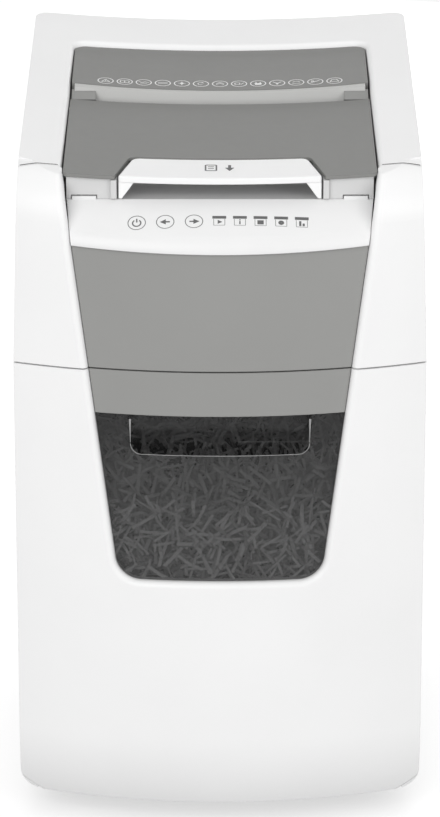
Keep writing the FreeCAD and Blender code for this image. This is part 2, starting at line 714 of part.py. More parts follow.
def lid_parts():
    sheet = slab(LID_SLOPE, 0, LID_T, LID_HALF + 5, LID_FRONT_Y - 5, LID_BACK_Y + 5)
    h, y0, y1 = LID_HALF, LID_FRONT_Y, LID_BACK_Y
    k = LID_HALF_BACK
    sheet = sheet.common(plate_z([(-h, y0), (h, y0), (k, y1), (-k, y1)], [4, 4, 1, 1], 500, CLEAR_Z))
    cut = [(CUT_FRONT, y0 - 8), (CUT_FRONT, y0), (CUT_BACK, CUT_BACK_Y)]
    cut += [(-x, y) for x, y in reversed(cut)]
    sheet = sheet.cut(plate_z(cut, [0, 3, 8, 8, 3, 0], 500, CLEAR_Z))
    rim = slab(LID_SLOPE, -LID_T + 0.1, 5.0, k - 0.3, y0 + 9, y1 - 1.5)
    hollow = box(-k + 2.8, k - 2.8, y0 - 9, y1 - 4, 500, CLEAR_Z)
    rim = rim.cut(hollow)
    ears = pair(box(EAR_IN, EAR_OUT, PIVOT_Y - 5, PIVOT_Y + 4, PIVOT_Z - 5, PIVOT_Z + 6))
    under = slab(LID_SLOPE, -1.0, 60, h, y0, y1)
    body = fuse(sheet, rim, [e.common(under) for e in ears])
    for hole in pair(rod_x(PIN_R + 0.02, EAR_IN - 3, EAR_OUT + 2, PIVOT_Y, PIVOT_Z)):
        body = body.cut(hole)
    keep("lid_plate", body)
    keep("lid_pins", pair(rod_x(PIN_R, EAR_IN + 0.2, EAR_OUT + 6.4, PIVOT_Y, PIVOT_Z)))
    nose = y0 - 0.6
    grip = [(-GRIP_FRONT, nose), (GRIP_FRONT, nose), (GRIP_BACK, GRIP_BACK_Y), (-GRIP_BACK, GRIP_BACK_Y)]
    sides = plate_z(grip, [2, 2, 8, 8], 500, CLEAR_Z)
    top = slab(LID_SLOPE, 0.3, 5.2, 120, y0 - 2, GRIP_BACK_Y + 2).common(sides)
    top = soften(top, 1.4, grip_edge)
    flanges = []
    for s in (-1, 1):
        wedge = [(84.2, 552.6), (84.2, 566.5), (71.0, 566.5), (81.2, 552.6)]
        flanges.append(prism_y([(s * x, z) for x, z in wedge], y0 + 0.6, -126))
    under = slab(LID_SLOPE, -1.0, 60, 120, y0 - 2, GRIP_BACK_Y + 2)
    bar = slab(LID_SLOPE, -LID_T - 0.05, 2.2, 60, -114, -99)
    keep("lid_handle", fuse(top, [f.common(under).common(sides) for f in flanges], bar))
    inner = slab(LID_SLOPE, -8.4, 6.0, 115, -98, 0).cut(slab(LID_SLOPE, -10.4, 6, 112.5, -95.5, -2.5))
    inner = inner.fuse(slab(LID_SLOPE, -3.2, 6.0, 20, -98, 0))
    keep("lid_inner", inner)
    keep("pressure_plate", slab(LID_SLOPE, -15.5, 2.5, 108, -92, -6))


def grip_edge(edge):
    mid = edge.valueAt((edge.FirstParameter + edge.LastParameter) / 2)
    surface = TOP_Z + (mid.y - TOP_Y) * LID_SLOPE
    return mid.z > surface - 0.3 and edge.BoundBox.DiagonalLength > 4


# Feed tray and throat
TRAY_HALF = 114.0
TRAY_FRONT_Y = -102.6
SLOT_LOW = 496.0
SLOT_FRONT_Y = 15.5
THROAT_Y = 21.5


def tray_parts():
    top = slab(LID_SLOPE, -LID_T - 1.0, 60, 200, -200, 60)
    t = 2.5
    cheeks = pair(box(90, 127.3, -146.4, -143.6, 548.0, CLEAR_Z))
    posts = pair(box(85.5, 90.4, -149.4, -143.6, 552.2, CLEAR_Z))
    walls = pair(box(85.5, 88.0, -144, -103, 545, CLEAR_Z))
    back = box(-88, 88, -105.5, -103, 545, CLEAR_Z).common(slab(LID_SLOPE, -LID_T - 3.5, 60, 200, -200, 60))
    floor = prism_x([(-146.2, 550.4), (-103, 553.4), (-103, 551.0), (-146.2, 548.0)], -88, 88)
    surround = fuse(cheeks, posts, walls, back, floor).common(top)
    for notch in pair(box(101.8, 123.2, -150, -140, 540, 555.0)):
        surround = surround.cut(notch)
    surround = surround.cut(box(-200, 200, -200, -146.9, 500, 552.0))
    keep("tray_surround", surround)
    h = TRAY_HALF
    chute = [
        (TRAY_FRONT_Y, 548),
        (SLOT_FRONT_Y - 3, 532),
        (SLOT_FRONT_Y, 529),
        (SLOT_FRONT_Y, SLOT_LOW),
        (SLOT_FRONT_Y - t, SLOT_LOW),
        (SLOT_FRONT_Y - t, 528),
        (SLOT_FRONT_Y - 5, 529.5),
        (TRAY_FRONT_Y, 545.5),
    ]
    sheet = prism_x(chute, -h, h)
    rails = []
    for s in (-1, 1):
        a, b = sorted((s * h, s * (h + t)))
        profile = [(TRAY_FRONT_Y, 545.5), (TRAY_FRONT_Y, 559), (SLOT_FRONT_Y, 574)]
        profile += [(SLOT_FRONT_Y, 528), (SLOT_FRONT_Y - 5, 529.5)]
        rails.append(prism_x(profile, a, b))
    tray = fuse(sheet, rails)
    for x in ROLLER_XS:
        reach = ROLLER_W / 2 + 2
        tray = tray.cut(box(x - reach, x + reach, FEED_Y - 19, FEED_Y + 19, 500, 560))
    keep("paper_tray", tray)
    wall = prism_x(
        [
            (THROAT_Y, SLOT_LOW),
            (THROAT_Y, 566),
            (DECK_FRONT_Y - 0.2, 614),
            (DECK_FRONT_Y + 12, 614),
            (DECK_FRONT_Y + 12, 592),
            (DECK_FRONT_Y - 2, 588),
            (THROAT_Y + t, 562),
            (THROAT_Y + t, SLOT_LOW),
        ],
        -126.0,
        126.0,
    )
    above = slab(LID_SLOPE, 120, 120 - DECK_RISE + THROAT_LIP, 200, -100, 120)
    wall = wall.common(ahead_of_deck(-THROAT_LIP)).cut(above)
    keep("throat_guide", wall)
    block = prism_y([(128.4, 610), (128.4, 560), (104.5, 560), (108.4, 610)], 4, 40)
    block = block.common(prism_x([(16.0, 560), (16.0, 596.0), (40.0, 606.0), (40.0, 560)], 90, 140))
    block = block.cut(rod_x(11.3, 90, 140, PIVOT_Y, PIVOT_Z)).cut(wall)
    block = block.common(box(90, 140, 0, DECK_FRONT_Y - 0.4, 560, 620))
    block = max(block.Solids, key=lambda s: s.Volume)
    keep("end_blocks", pair(block))


# Feed roller under the tray
FEED_Y = -36.0
FEED_Z = 524.5
ROLLER_R = 16.0
ROLLER_W = 24.0
ROLLER_XS = (-45.0, 45.0)
FEED_SHAFT_R = 4.0
FEED_TEETH = 30
FEED_PINION_TEETH = 10
FEED_MODULE = 1.0
FEED_PIN_R = 2.02
FEED_MOTOR_R = 11.0
GEAR_X = 132.0
GEAR_W = 8.0

# Cutting unit
CUT_YS = (-1.0, 39.0)
CUT_Z = 462.0
DISC_R = 22.6
DISCS = 28
PITCH = 8.0
DISC_T = 3.4
HEX = 15.0  # across flats
PLATE_X = 122.0
PLATE_W = 3.0
JOURNAL_R = 7.0
BEARING_R = 11.0
ROD_R = 4.0
ROD_YZS = ((-30.0, 414.0), (76.0, 425.0), (76.0, 488.0))
SHAFT_TEETH = 20
SHAFT_MODULE = 2.0
DRIVE_TEETH = 60
PINION_TEETH = 16
DRIVE_MODULE = 1.5
DRIVE_ANGLE = math.radians(200)
DRIVE_GAP = (DRIVE_TEETH + PINION_TEETH) * DRIVE_MODULE / 2
MOTOR_Y = CUT_YS[0] + DRIVE_GAP * math.cos(DRIVE_ANGLE)
MOTOR_Z = CUT_Z + DRIVE_GAP * math.sin(DRIVE_ANGLE)
MOTOR_R = 25.0
MOTOR_NOSE_R = 8.8
MOTOR_SHAFT_R = 4.0
FACETS = 24


def gear(teeth, module, y, z, x0, x1, turn, bore):
    """Flat-faced spur gear about an X axis, with sampled involute flanks and backlash."""
    pitch_r = teeth * module / 2
    base = pitch_r * math.cos(math.radians(20))
    tip, root = pitch_r + module, pitch_r - 1.25 * module

    def inv(r):
        return math.sqrt((r / base) ** 2 - 1) - math.acos(base / r)

    half_tooth = math.pi / (2 * teeth) - 0.13 * module / pitch_r
    start = max(base + 0.01, root)
    radii = [start + (tip - start) * k / 3 for k in range(4)]
    points = []
    for i in range(teeth):
        mid = turn + 2 * math.pi * i / teeth
        flank = [(r, half_tooth + inv(pitch_r) - inv(r)) for r in radii]
        flank = [(root, flank[0][1])] + flank if start > root else flank
        for r, a in flank:
            points.append((mid - a, r))
        for r, a in reversed(flank):
            points.append((mid + a, r))
    outline = [(y + r * math.cos(a), z + r * math.sin(a)) for a, r in points]
    body = prism_x(outline, x0, x1)
    return body.cut(bore)


def hexagon(across, y, z, x0, x1):
    r = across / math.sqrt(3)
    corners = [math.radians(60 * i) for i in range(6)]
    return prism_x([(y + r * math.cos(a), z + r * math.sin(a)) for a in corners], x0, x1)


def disc_outline(y, z, turn):
    """A cutter disc: a many-sided disc with hooked teeth."""
    pts = []
    for i in range(FACETS):
        a = turn + 2 * math.pi * i / FACETS
        r = DISC_R if i % 6 else DISC_R - 3.5
        pts.append((y + r * math.cos(a), z + r * math.sin(a)))
    return pts


def cutter_parts():
    span = DISCS * PITCH
    x_out = GEAR_X + GEAR_W + 1
    drums = (("front", CUT_YS[0], 0.0, x_out), ("rear", CUT_YS[1], PITCH / 2, PLATE_X + 6))
    for name, y, shift, reach in drums:
        bar = hexagon(HEX, y, CUT_Z, 3.6 - PLATE_X, PLATE_X - 3.6)
        ends = rod_x(JOURNAL_R, -x_out, reach, y, CUT_Z)
        keep(f"cutter_shaft_{name}", fuse(bar, ends))
        hole = hexagon(HEX + 0.1, y, CUT_Z, -FAR, FAR)
        discs = []
        for i in range(DISCS):
            x = -span / 2 + PITCH * i + shift
            turn = math.radians(15.0 * (i % 4))
            discs.append(prism_x(disc_outline(y, CUT_Z, turn), x, x + DISC_T).cut(hole))
        keep(f"cutter_discs_{name}", discs)
    combs = []
    for sign, y, shift in ((-1, CUT_YS[0], PITCH / 2), (1, CUT_YS[1], 0.0)):
        rail_y = y + sign * (DISC_R + 1.2)
        a, b = sorted((rail_y, rail_y + sign * 3))
        rail = box(-span / 2 - 4, span / 2 + 4, a, b, CUT_Z - 20, CUT_Z + 16)
        fingers = []
        for i in range(DISCS):
            x = -span / 2 + PITCH * i + shift + 0.4
            c, d = sorted((y + sign * 9.6, rail_y + sign * 1))
            fingers.append(box(x, x + 2.6, c, d, CUT_Z - 14, CUT_Z - 4))
        combs.append(fuse(rail, fingers))
    keep("cutter_combs", combs)
    plate = box(PLATE_X, PLATE_X + PLATE_W, -42, 82, DECK_Z + DECK_T, 494)
    for y in CUT_YS:
        plate = plate.cut(rod_x(BEARING_R + 0.05, PLATE_X - 1, PLATE_X + PLATE_W + 1, y, CUT_Z))
    keep("cutter_side_plates", pair(plate))
    keep("tie_rods", [rod_x(ROD_R, -PLATE_X, PLATE_X, y, z) for y, z in ROD_YZS])
    bearings = []
    for y in CUT_YS:
        ring = rod_x(BEARING_R, PLATE_X - 3, PLATE_X + PLATE_W + 1, y, CUT_Z)
        ring = ring.cut(rod_x(JOURNAL_R + 0.05, PLATE_X - 4, PLATE_X + PLATE_W + 2, y, CUT_Z))
        bearings += pair(ring)
    keep("shaft_bearings", bearings)
    drive_parts()


def drive_parts():
    """Timing gears on the left; drive gear, pinion and motor on the right."""
    left = (-GEAR_X - GEAR_W, -GEAR_X)
    right = (GEAR_X, GEAR_X + GEAR_W)
    front_y, rear_y = CUT_YS
    front_bore, rear_bore = [rod_x(JOURNAL_R + 0.02, -FAR, FAR, y, CUT_Z) for y in CUT_YS]
    half_pitch = math.pi / SHAFT_TEETH
    keep("timing_gear_front", gear(SHAFT_TEETH, SHAFT_MODULE, front_y, CUT_Z, *left, 0.0, front_bore))
    keep("timing_gear_rear", gear(SHAFT_TEETH, SHAFT_MODULE, rear_y, CUT_Z, *left, half_pitch, rear_bore))
    keep("drive_gear", gear(DRIVE_TEETH, DRIVE_MODULE, front_y, CUT_Z, *right, DRIVE_ANGLE, front_bore))
    at = (MOTOR_Y, MOTOR_Z)
    opposite = DRIVE_ANGLE + math.pi + math.pi / PINION_TEETH
    pinion_bore = rod_x(MOTOR_SHAFT_R + 0.02, -FAR, FAR, *at)
    keep("motor_pinion", gear(PINION_TEETH, DRIVE_MODULE, *at, *right, opposite, pinion_bore))
    nose_hole = rod_x(MOTOR_NOSE_R + 0.2, PLATE_X - 5, PLATE_X + 8, *at)
    keep("cutter_side_plates", [s.cut(nose_hole) for s in PARTS["cutter_side_plates"].Solids])
    motor = rod_x(MOTOR_R, 20, PLATE_X - 0.2, *at).fuse(rod_x(MOTOR_NOSE_R, PLATE_X - 2, PLATE_X + 6, *at))
    keep("drive_motor", motor.cut(rod_x(MOTOR_SHAFT_R + 0.06, 100, 160, *at)))
    keep("motor_shaft", rod_x(MOTOR_SHAFT_R, 101, GEAR_X + GEAR_W + 1, *at))


def feed_parts():
    y, z = FEED_Y, FEED_Z
    keep("feed_shaft", rod_x(FEED_SHAFT_R, -GEAR_X - GEAR_W - 1, 121.2, y, z))
    rollers = []
    for x in ROLLER_XS:
        drum = rod_x(ROLLER_R, x - ROLLER_W / 2, x + ROLLER_W / 2, y, z)
        rollers.append(drum.cut(rod_x(FEED_SHAFT_R + 0.02, -FAR, FAR, y, z)))
    keep("feed_rollers", rollers)
    x0, x1 = -GEAR_X - GEAR_W, -GEAR_X
    bore = rod_x(FEED_SHAFT_R + 0.02, -FAR, FAR, y, z)
    keep("feed_gear", gear(FEED_TEETH, FEED_MODULE, y, z, x0, x1, math.pi, bore))
    my = y - (FEED_TEETH + FEED_PINION_TEETH) * FEED_MODULE / 2
    bore = rod_x(FEED_PIN_R, -FAR, FAR, my, z)
    turn = math.pi / FEED_PINION_TEETH
    pinion = gear(FEED_PINION_TEETH, FEED_MODULE, my, z, x0, x1, turn, bore)
    keep("feed_pinion", pinion.fuse(rod_x(FEED_PIN_R, x0 - 1, -112, my, z)))
    motor = rod_x(FEED_MOTOR_R, -128, -70, my, z).cut(rod_x(FEED_PIN_R + 0.08, -140, -110, my, z))
    keep("feed_motor", motor)
    brackets = []
    for s in (-1, 1):
        a, b = sorted((s * 118.6, s * 121.4))
        arm = box(a, b, y - 36, y + 14, DECK_Z + DECK_T, z + 14)
        brackets.append(arm)
    holes = [rod_x(FEED_SHAFT_R + 0.06, -FAR, FAR, y, z), rod_x(FEED_MOTOR_R + 0.1, -FAR, 0, my, z)]
    holes.append(rod_x(ROD_R + 0.5, -FAR, FAR, *ROD_YZS[0]))
    holes.append(rod_x(MOTOR_R + 0.4, 0, FAR, MOTOR_Y, MOTOR_Z))
    for i, arm in enumerate(brackets):
        for hole in holes:
            arm = arm.cut(hole)
        brackets[i] = arm
    keep("feed_brackets", brackets)


def controller():
    keep("controller_board", box(-100, 60, 120, 121.6, 425, 495))
    screws = []
    for x, z in SCREWS:
        head = Part.makeCylinder(4, 2.2, V(x, BACK_Y + 0.02, z), V(0, 1, 0))
        shank = Part.makeCylinder(1.7, 12, V(x, BACK_Y - 11.9, z), V(0, 1, 0))
        screws.append(head.fuse(shank))
    keep("back_screws", screws)


cabinet()
inlet()
casters()
caster_seats()
bin_parts()
head_parts()
control_panel()
lid_parts()
tray_parts()
cutter_parts()
feed_parts()
controller()

os.makedirs("parts", exist_ok=True)
for name, shape in PARTS.items():
    shape.exportStep(f"parts/{name}.step")
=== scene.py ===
"""Looks, light and camera for the paper shredder, on the frame that the CAD model gives."""

import math
import random

import bpy
from mathutils import Matrix, Vector
from mathutils.bvhtree import BVHTree


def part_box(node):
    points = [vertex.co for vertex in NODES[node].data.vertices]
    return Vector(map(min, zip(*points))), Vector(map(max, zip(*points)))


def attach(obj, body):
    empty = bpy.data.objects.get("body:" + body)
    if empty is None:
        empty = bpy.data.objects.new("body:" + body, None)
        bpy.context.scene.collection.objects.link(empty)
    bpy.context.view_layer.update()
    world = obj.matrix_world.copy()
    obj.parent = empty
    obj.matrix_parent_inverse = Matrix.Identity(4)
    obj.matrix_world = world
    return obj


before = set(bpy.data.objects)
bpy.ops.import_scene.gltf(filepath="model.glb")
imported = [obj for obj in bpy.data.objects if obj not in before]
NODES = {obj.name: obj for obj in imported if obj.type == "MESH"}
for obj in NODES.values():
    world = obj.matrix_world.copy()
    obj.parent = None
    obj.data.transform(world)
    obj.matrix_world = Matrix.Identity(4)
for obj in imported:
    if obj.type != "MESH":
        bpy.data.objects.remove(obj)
MM = 0.001
random.seed(7)


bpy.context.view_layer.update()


# ---------------------------------------------------------------- materials
def srgb(level):
    """An 8-bit grey or colour as linear light."""
    if not isinstance(level, (tuple, list)):
        level = (level, level, level)
    out = []
    for v in level:
        v = v / 255
        out.append(v / 12.92 if v <= 0.04045 else ((v + 0.055) / 1.055) ** 2.4)
    return (*out, 1.0)


def new_material(name):
    material = bpy.data.materials.new(name)
    material.use_nodes = True
    tree = material.node_tree
    shader = tree.nodes["Principled BSDF"]
    return material, tree, shader


def link(tree, a, b):
    tree.links.new(a, b)


def noise(tree, where, scale, detail=2.0, rough=0.5):
    node = tree.nodes.new("ShaderNodeTexNoise")
    node.inputs["Scale"].default_value = scale
    node.inputs["Detail"].default_value = detail
    node.inputs["Roughness"].default_value = rough
    link(tree, where, node.inputs["Vector"])
    return node.outputs["Fac"]


def spread(tree, value, low, high, start=0.3, end=0.7):
    node = tree.nodes.new("ShaderNodeMapRange")
    node.inputs["From Min"].default_value = start
    node.inputs["From Max"].default_value = end
    node.inputs["To Min"].default_value = low
    node.inputs["To Max"].default_value = high
    link(tree, value, node.inputs["Value"])
    return node.outputs["Result"]


def tint(tree, value, dark, light):
    node = tree.nodes.new("ShaderNodeMix")
    node.data_type = "RGBA"
    node.inputs[6].default_value = dark
    node.inputs[7].default_value = light
    link(tree, value, node.inputs["Factor"])
    return node.outputs[2]


def bump(tree, height, strength, distance, under=None):
    node = tree.nodes.new("ShaderNodeBump")
    node.inputs["Strength"].default_value = strength
    node.inputs["Distance"].default_value = distance
    link(tree, height, node.inputs["Height"])
    if under is not None:
        link(tree, under, node.inputs["Normal"])
    return node.outputs["Normal"]


def plastic(name, colour, rough=0.42, grain=1500.0, relief=0.10, vary=0.03, spec=0.5, dust=0.02, edge=0.0009):
    """Moulded plastic: spark-eroded grain, cloudy sheen, faint flow marks and handling marks."""
    material, tree, shader = new_material(name)
    at = tree.nodes.new("ShaderNodeTexCoord").outputs["Object"]
    cloud = noise(tree, at, 9.0, 4.0, 0.55)
    fine = noise(tree, at, grain, 2.0, 0.6)
    scuff = noise(tree, at, 60.0, 6.0, 0.7)
    base = srgb(colour)
    dark = tuple(c * (1 - vary) for c in base[:3]) + (1.0,)
    light = tuple(min(1.0, c * (1 + vary)) for c in base[:3]) + (1.0,)
    shade = tint(tree, spread(tree, cloud, 0.0, 1.0), dark, light)
    link(tree, shade, shader.inputs["Base Color"])
    sheen = tree.nodes.new("ShaderNodeMath")
    sheen.operation = "ADD"
    link(tree, spread(tree, cloud, rough - 0.04, rough + 0.04), sheen.inputs[0])
    link(tree, spread(tree, scuff, -dust, dust, 0.35, 0.65), sheen.inputs[1])
    link(tree, sheen.outputs[0], shader.inputs["Roughness"])
    rounded = None
    if edge:
        soft = tree.nodes.new("ShaderNodeBevel")
        soft.samples = 4
        soft.inputs["Radius"].default_value = edge
        rounded = soft.outputs["Normal"]
    link(tree, bump(tree, fine, relief, 0.00006, rounded), shader.inputs["Normal"])
    shader.inputs["IOR"].default_value = 1.49
    shader.inputs["Specular IOR Level"].default_value = spec
    return material


def metal(name, colour, rough=0.28, streak=(1.0, 40.0, 40.0), relief=0.05):
    """Drawn or ground metal with fine marks along one direction."""
    material, tree, shader = new_material(name)
    at = tree.nodes.new("ShaderNodeTexCoord").outputs["Object"]
    stretch = tree.nodes.new("ShaderNodeMapping")
    stretch.inputs["Scale"].default_value = streak
    link(tree, at, stretch.inputs["Vector"])
    marks = noise(tree, stretch.outputs["Vector"], 60.0, 6.0, 0.6)
    cloud = noise(tree, at, 25.0, 3.0, 0.5)
    base = srgb(colour)
    dark = tuple(c * 0.82 for c in base[:3]) + (1.0,)
    link(tree, tint(tree, spread(tree, cloud, 0.0, 1.0), dark, base), shader.inputs["Base Color"])
    link(tree, spread(tree, marks, rough - 0.08, rough + 0.12), shader.inputs["Roughness"])
    link(tree, bump(tree, marks, relief, 0.0002), shader.inputs["Normal"])
    shader.inputs["Metallic"].default_value = 1.0
    return material


WINDOW_BOTTOM, WINDOW_TOP = 0.25, 0.36


def smoked(name):
    """Smoked clear plastic with a slightly uneven polish, with painted shade that darkens it towards the top.
    """
    material, tree, shader = new_material(name)
    at = tree.nodes.new("ShaderNodeTexCoord").outputs["Object"]
    haze = noise(tree, at, 30.0, 4.0, 0.6)
    split = tree.nodes.new("ShaderNodeSeparateXYZ")
    link(tree, at, split.inputs[0])
    # painted shade: the window's tint is blended darker from its bottom to its top
    depth = spread(tree, split.outputs["Z"], 0.0, 1.0, WINDOW_BOTTOM, WINDOW_TOP)
    link(tree, tint(tree, depth, srgb(58), srgb(38)), shader.inputs["Base Color"])
    link(tree, spread(tree, haze, 0.10, 0.20), shader.inputs["Roughness"])
    link(tree, bump(tree, noise(tree, at, 14.0, 2.0), 0.03, 0.001), shader.inputs["Normal"])
    shader.inputs["Alpha"].default_value = 0.46
    shader.inputs["IOR"].default_value = 1.49
    return material


def pocket_painted_shade_plastic(name, front, deep, near_y, far_y):
    """White plastic that turns grey with depth behind the front: painted shade for the inside of a pocket."""
    material = plastic(name, front, rough=0.42, relief=0.08, vary=0.012)
    tree = material.node_tree
    shader = tree.nodes["Principled BSDF"]
    pale = shader.inputs["Base Color"].links[0].from_socket
    at = tree.nodes.new("ShaderNodeTexCoord").outputs["Object"]
    split = tree.nodes.new("ShaderNodeSeparateXYZ")
    link(tree, at, split.inputs[0])
    mix = tree.nodes.new("ShaderNodeMix")
    mix.data_type = "RGBA"
    link(tree, spread(tree, split.outputs["Y"], 0.0, 1.0, near_y, far_y), mix.inputs["Factor"])
    link(tree, pale, mix.inputs[6])
    mix.inputs[7].default_value = srgb(deep)
    link(tree, mix.outputs[2], shader.inputs["Base Color"])
    return material


WHITE = plastic("white_shell", 243, rough=0.40, relief=0.08, vary=0.012)
# painted shade: the tray surround (cheeks and finger pocket) is a darker white than the shell where the lid
# overhangs it, and greyer still towards the pocket's back
POCKET_SHADED = pocket_painted_shade_plastic("white_pocket_painted_shade", 208, 190, -0.1450, -0.128)
WHITE_DECK = plastic("white_deck", 233, rough=0.40, relief=0.08, vary=0.012)
WHITE_TOP = plastic("white_top", 243, rough=0.38, relief=0.08, vary=0.012)
GREY = plastic("grey_panel", (146, 146, 144), rough=0.46, grain=1300.0, relief=0.18, vary=0.02)
GREY_TOP = plastic("grey_lid", (128, 128, 126), rough=0.46, grain=1300.0, relief=0.2, vary=0.02)
THROAT = plastic("grey_throat", (192, 192, 190), rough=0.45, relief=0.12)
BLOCK = plastic("grey_block", (143, 143, 141), rough=0.5, relief=0.15)
BLACK = plastic("black_plastic", 34, rough=0.5, relief=0.3, vary=0.1)
TUB = plastic("tub_plastic", 42, rough=0.55, relief=0.3, vary=0.1)
NYLON = plastic("nylon", (226, 220, 200), rough=0.45, vary=0.03)
RUBBER = plastic("rubber", 38, rough=0.75, grain=900.0, relief=0.5, vary=0.15, spec=0.3)
BOARD = plastic("board", (22, 84, 44), rough=0.35, grain=400.0, relief=0.2, vary=0.1)
STEEL = metal("bright_steel", 200, rough=0.22)
HARD = metal("hard_steel", 120, rough=0.34)
ZINC = metal("zinc_plate", 185, rough=0.32, streak=(12.0, 12.0, 12.0))
BRASS = metal("contact", (214, 190, 120), rough=0.25)
WINDOW = smoked("smoked_window")
INK = plastic("printed_grey", 96, rough=0.5, relief=0.02, vary=0.02, edge=0)
INK_LIGHT = plastic("printed_light", 240, rough=0.5, relief=0.02, vary=0.02, edge=0)
# painted light and shade: the shreds against the window get a lighter copy of the paper colour, the deeper
# shreds a darker copy
PAPER_LIT_FRONT = plastic("paper_front_painted_light", 230, rough=0.85, grain=700.0, relief=0.3, vary=0.08, spec=0.2, edge=0)
PAPER_SHADED_DEEP = plastic("paper", 192, rough=0.85, grain=700.0, relief=0.3, vary=0.08, spec=0.2, edge=0)
# painted shadow: a dark strip drawn along the seam beside the lid
SHADOW = plastic("seam_painted_shadow", 70, rough=0.8, relief=0.02, vary=0.02, spec=0.1, edge=0)
# painted highlights: light strips drawn on the window along the hand pocket's edges, the deep one dimmer
GLINT = plastic("pocket_edge_painted_glint", 150, rough=0.3, relief=0.02, vary=0.12, edge=0)
GLINT_FAINT = plastic("pocket_deep_edge_painted_glint", 92, rough=0.3, relief=0.02, vary=0.12, edge=0)

GROUPS = (
    (WHITE, "cabinet_shell bin_front head_housing lid_handle"),
    (WHITE_TOP, "top_frame"),
    (WHITE_DECK, "control_panel"),
    (POCKET_SHADED, "tray_surround"),
    (GREY, "head_panel bin_panel"),
    (GREY_TOP, "lid_plate rear_deck"),
    (THROAT, "throat_guide"),
    (BLOCK, "end_blocks"),
    (WINDOW, "bin_window"),
    (TUB, "bin_tub"),
    (RUBBER, "feed_rollers"),
    (NYLON, "timing_gear_front timing_gear_rear feed_gear feed_pinion"),
    (STEEL, "cutter_shaft_front cutter_shaft_rear feed_shaft motor_shaft"),
    (STEEL, "lid_pins back_screws shaft_bearings"),
    (HARD, "cutter_discs_front cutter_discs_rear drive_gear motor_pinion"),
    (ZINC, "cabinet_rails bin_slides cutter_side_plates tie_rods drive_motor feed_motor"),
    (BOARD, "control_board controller_board"),
    (BRASS, "inlet_pins"),
)
LOOKS = {}
for look, names in GROUPS:
    for name in names.split():
        LOOKS[name] = look
for name, node in NODES.items():
    look = LOOKS.get(name, RUBBER if name.startswith("caster_wheel") else BLACK)
    node.data.materials.clear()
    node.data.materials.append(look)


# ---------------------------------------------------------------- marks on surfaces
class Surface:
    """Drops plan points onto a CAD node from above."""

    def __init__(self, node):
        mesh = NODES[node].data
        points = [v.co.copy() for v in mesh.vertices]
        self.tree = BVHTree.FromPolygons(points, [tuple(p.vertices) for p in mesh.polygons])

    def drop(self, x, y, lift):
        hit, normal, _, _ = self.tree.ray_cast(Vector((x, y, 2.0)), Vector((0, 0, -1)))
        if hit is None:
            raise ValueError(f"no surface under {x:.4f}, {y:.4f}")
        if normal.z < 0:
            normal = -normal
        return hit + normal * lift


def strip(path, width):
    """Quads along a plan path, as (x, y) corners in millimetres."""
    quads = []
    for a, b in zip(path, path[1:]):
        dx, dy = b[0] - a[0], b[1] - a[1]
        size = math.hypot(dx, dy)
        nx, ny = -dy / size * width / 2, dx / size * width / 2
        near = [(a[0] - nx, a[1] - ny), (b[0] - nx, b[1] - ny)]
        quads.append(near + [(b[0] + nx, b[1] + ny), (a[0] + nx, a[1] + ny)])
    return quads


def ring(cx, cy, r, width, a0=0.0, a1=360.0, parts=36):
    """Quads along an arc of a circle."""
    quads = []
    for i in range(parts):
        t0 = math.radians(a0 + (a1 - a0) * i / parts)
        t1 = math.radians(a0 + (a1 - a0) * (i + 1) / parts)
        inner, outer = r - width / 2, r + width / 2
        corners = ((t0, inner), (t0, outer), (t1, outer), (t1, inner))
        quads.append([(cx + k * math.cos(t), cy + k * math.sin(t)) for t, k in corners])
    return quads


def tri(cx, cy, r, turn):
    """A triangle pointing in the direction `turn`, in degrees."""
    angles = [math.radians(turn + 120 * i) for i in range(3)]
    return [(cx + r * math.cos(a), cy + r * math.sin(a)) for a in angles]


def outline(points, width):
    return strip(points + points[:1], width)


def place(quads, cx, cy, squeeze=1.0):
    """Quads moved to a plan point, shortened along Y where the surface slopes."""
    return [[(cx + x, cy + y * squeeze) for x, y in quad] for quad in quads]


def mesh_object(name, points, faces, material, body):
    mesh = bpy.data.meshes.new(name)
    mesh.from_pydata(points, [], faces)
    mesh.validate()
    mesh.materials.append(material)
    obj = bpy.data.objects.new(name, mesh)
    bpy.context.scene.collection.objects.link(obj)
    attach(obj, body)


def print_on(name, node, quads, material, body, lift=0.00008):
    """Marks printed on a node: plan quads in millimetres, dropped onto it from above."""
    surface = Surface(node)
    points, faces = [], []
    for quad in quads:
        first = len(points)
        points += [surface.drop(x * MM, y * MM, lift) for x, y in quad]
        faces.append(tuple(range(first, first + len(quad))))
    mesh_object(name, points, faces, material, body)


# ---------------------------------------------------------------- keys and status marks
KEY_SQUEEZE = math.cos(math.radians(28))
KEY_Y = -169.5
KEY_R = 7.2
KEY_XS = (-68.6, -45.1, -21.4)
STATUS_X = -0.6
STATUS_STEP = 17.0
power_sign = ring(0, -0.3, 3.4, 1.15, 125, 415, 24) + strip([(0, 0.4), (0, 4.3)], 1.15)
back_sign = [tri(-1.2, 0, 3.3, 180)] + strip([(0.2, 0), (3.8, 0)], 1.5)
front_sign = [tri(1.2, 0, 3.3, 0)] + strip([(-3.8, 0), (-0.2, 0)], 1.5)
marks = []
for x, sign in zip(KEY_XS, (power_sign, back_sign, front_sign)):
    marks += place(ring(0, 0, KEY_R, 0.65) + sign, x, KEY_Y, KEY_SQUEEZE)
status_frame = strip([(-4.6, -4.6), (4.6, -4.6)], 0.4)
for x in (-4.6, 4.6):
    status_frame += strip([(x, -4.6), (x, 2.6)], 0.4)
